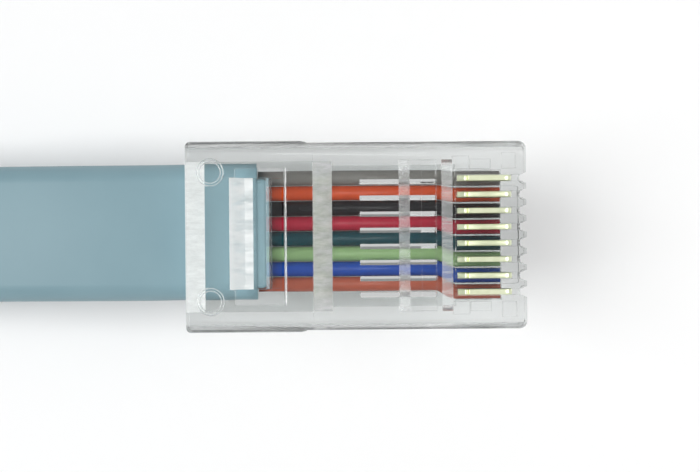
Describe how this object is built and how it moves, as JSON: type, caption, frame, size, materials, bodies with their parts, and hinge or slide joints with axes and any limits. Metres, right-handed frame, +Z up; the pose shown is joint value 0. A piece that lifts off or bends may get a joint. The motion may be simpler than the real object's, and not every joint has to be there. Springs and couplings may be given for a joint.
{
  "type": "flat rj45 console cable",
  "caption": "Flat console cable with a clear modular plug on each end and coloured wires fanned to gold contacts; the spare length is coiled on edge.",
  "frame": {"origin": "on the floor, under the middle of the first plug's own box, with the cord and the second plug left out", "axes": "+X out of the first plug's nose, +Y across its contact row towards the grey wire, +Z up, out of its contact side"},
  "size_m": [0.1399, 0.1135, 0.0121],
  "materials": {
    "clear_plastic": "clear moulded polycarbonate, glossy",
    "contact_gold": "thin pale gold plating on stamped copper alloy",
    "jacket": "light grey-blue soft vinyl, satin",
    "wire_grey": "grey wire insulation, smooth",
    "wire_orange": "orange wire insulation, smooth",
    "wire_black": "black wire insulation, smooth",
    "wire_red": "red wire insulation, smooth",
    "wire_dark_green": "dark green wire insulation, smooth",
    "wire_light_green": "light green wire insulation, smooth",
    "wire_blue": "blue wire insulation, smooth",
    "wire_brown": "reddish brown wire insulation, smooth"
  },
  "bodies": {
    "root": {"plug_housing": "clear_plastic", "contact_1": "contact_gold", "contact_2": "contact_gold", "contact_3": "contact_gold", "contact_4": "contact_gold", "contact_5": "contact_gold", "contact_6": "contact_gold", "contact_7": "contact_gold", "contact_8": "contact_gold", "wire_1_grey": "wire_grey", "wire_2_orange": "wire_orange", "wire_3_black": "wire_black", "wire_4_red": "wire_red", "wire_5_dark_green": "wire_dark_green", "wire_6_light_green": "wire_light_green", "wire_7_blue": "wire_blue", "wire_8_brown": "wire_brown", "cable_lead": "jacket", "cable_coil": "jacket", "cable_tail": "jacket", "far_plug_housing": "clear_plastic", "far_contact_1": "contact_gold", "far_contact_2": "contact_gold", "far_contact_3": "contact_gold", "far_contact_4": "contact_gold", "far_contact_5": "contact_gold", "far_contact_6": "contact_gold", "far_contact_7": "contact_gold", "far_contact_8": "contact_gold", "far_wire_1_grey": "wire_grey", "far_wire_2_orange": "wire_orange", "far_wire_3_black": "wire_black", "far_wire_4_red": "wire_red", "far_wire_5_dark_green": "wire_dark_green", "far_wire_6_light_green": "wire_light_green", "far_wire_7_blue": "wire_blue", "far_wire_8_brown": "wire_brown"}
  },
  "joints": []
}
